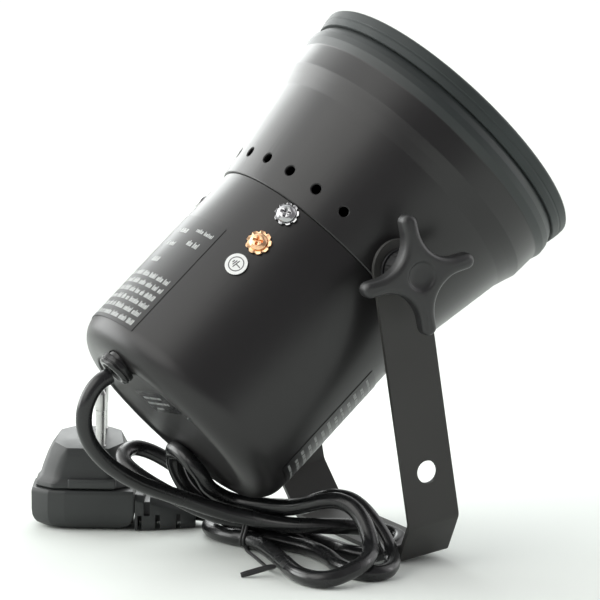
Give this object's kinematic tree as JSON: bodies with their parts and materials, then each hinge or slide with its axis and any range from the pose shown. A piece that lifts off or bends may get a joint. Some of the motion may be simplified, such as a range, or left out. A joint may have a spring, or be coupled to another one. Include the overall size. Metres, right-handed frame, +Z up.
{
  "type": "pinspot light",
  "caption": "Small black pinspot with a sealed-beam reflector lamp, flared round housing, U-shaped yoke with star knobs, and a coiled mains lead with plug.",
  "frame": {"origin": "on the surface, under the middle of the light's length and width, measured without the free lead, its coil, its tie and its plug", "axes": "+X is the side that the lamp points to, +Y runs along the tilt axis, +Z is up; the lamp points 43.3 degrees above level at rest"},
  "size_m": [0.2114, 0.174, 0.2179],
  "materials": {
    "black_paint": "satin paint",
    "yoke_paint": "matt powder coat",
    "ring_rubber": "matt",
    "lamp_glass": "clear, pressed",
    "lamp_mirror": "aluminised",
    "steel": "zinc plated",
    "iron": "varnished laminations",
    "winding": "enamelled copper wire",
    "brass": "plain",
    "nylon": "natural nylon",
    "chrome": "polished",
    "copper": "copper flashed",
    "label_dark": "satin film",
    "label_white": "satin film",
    "black_plastic": "moulded",
    "black_pvc": "glossy",
    "green_pvc": "glossy",
    "blue_pvc": "glossy",
    "silicone": "matt"
  },
  "bodies": {
    "head": {"rear_can": "black_paint", "front_cone": "black_paint", "lamp_retaining_ring": "ring_rubber", "lamp_lens": "lamp_glass", "lamp_reflector": "lamp_mirror", "lamp_filament_shield": "steel", "lamp_terminal_a": "brass", "lamp_terminal_b": "brass", "transformer_core": "iron", "transformer_coil": "winding", "transformer_bracket": "steel", "transformer_post_a": "steel", "transformer_post_b": "steel", "mains_connector": "nylon", "earth_washer": "copper", "earth_screw": "copper", "earth_nut": "brass", "earth_lug": "brass", "bracket_screw_1": "steel", "bracket_screw_2": "steel", "rating_label": "label_dark", "underside_label": "label_dark", "earth_label": "label_white", "rear_label": "label_dark", "strain_relief": "black_plastic", "mains_tail": "black_pvc", "earth_wire": "green_pvc", "lamp_wire_a": "black_pvc", "lamp_wire_b": "blue_pvc", "lead_run": "black_pvc", "lead_hank": "black_pvc", "cable_tie": "black_plastic", "plug_grip": "black_plastic", "plug_body": "black_plastic", "plug_pin_a": "steel", "plug_pin_b": "steel", "plug_cord_grip": "black_plastic", "plug_lead": "black_pvc", "joint_washer_1": "chrome", "joint_screw_1": "chrome", "joint_nut_1": "steel", "joint_washer_2": "chrome", "joint_screw_2": "chrome", "joint_nut_2": "steel", "joint_washer_3": "chrome", "joint_screw_3": "chrome", "joint_nut_3": "steel", "captive_nut_near": "steel", "spacer_near": "silicone", "captive_nut_far": "steel", "spacer_far": "silicone"},
    "yoke": {"yoke": "yoke_paint"},
    "clamp_washer_near": {"knob_washer_near": "steel"},
    "clamp_washer_far": {"knob_washer_far": "steel"},
    "knob_near": {"knob_near": "black_plastic", "stud_near": "steel"},
    "knob_far": {"knob_far": "black_plastic", "stud_far": "steel"}
  },
  "joints": [
    {"name": "yoke_tilt", "type": "hinge", "parent": "head", "child": "yoke", "pos_m": [0.00376, 0, 0.12164], "axis": [0, -1, 0], "range_deg": [0, 88]},
    {"name": "clamp_washer_near_slide", "type": "slide", "parent": "head", "child": "clamp_washer_near", "axis": [0, -1, 0], "range_m": [0, 0.002]},
    {"name": "knob_near_turn", "type": "hinge", "parent": "clamp_washer_near", "child": "knob_near", "pos_m": [0.00376, -0.063, 0.12164], "axis": [0, -1, 0], "range_deg": [0, 720]},
    {"name": "clamp_washer_far_slide", "type": "slide", "parent": "head", "child": "clamp_washer_far", "axis": [0, 1, 0], "range_m": [0, 0.002]},
    {"name": "knob_far_turn", "type": "hinge", "parent": "clamp_washer_far", "child": "knob_far", "pos_m": [0.00376, 0.063, 0.12164], "axis": [0, 1, 0], "range_deg": [0, 720]}
  ],
  "couplings": [
    {"joint": "knob_near_turn", "follows": "clamp_washer_near_slide", "rad_per_m": 6283.2},
    {"joint": "knob_far_turn", "follows": "clamp_washer_far_slide", "rad_per_m": 6283.2}
  ]
}
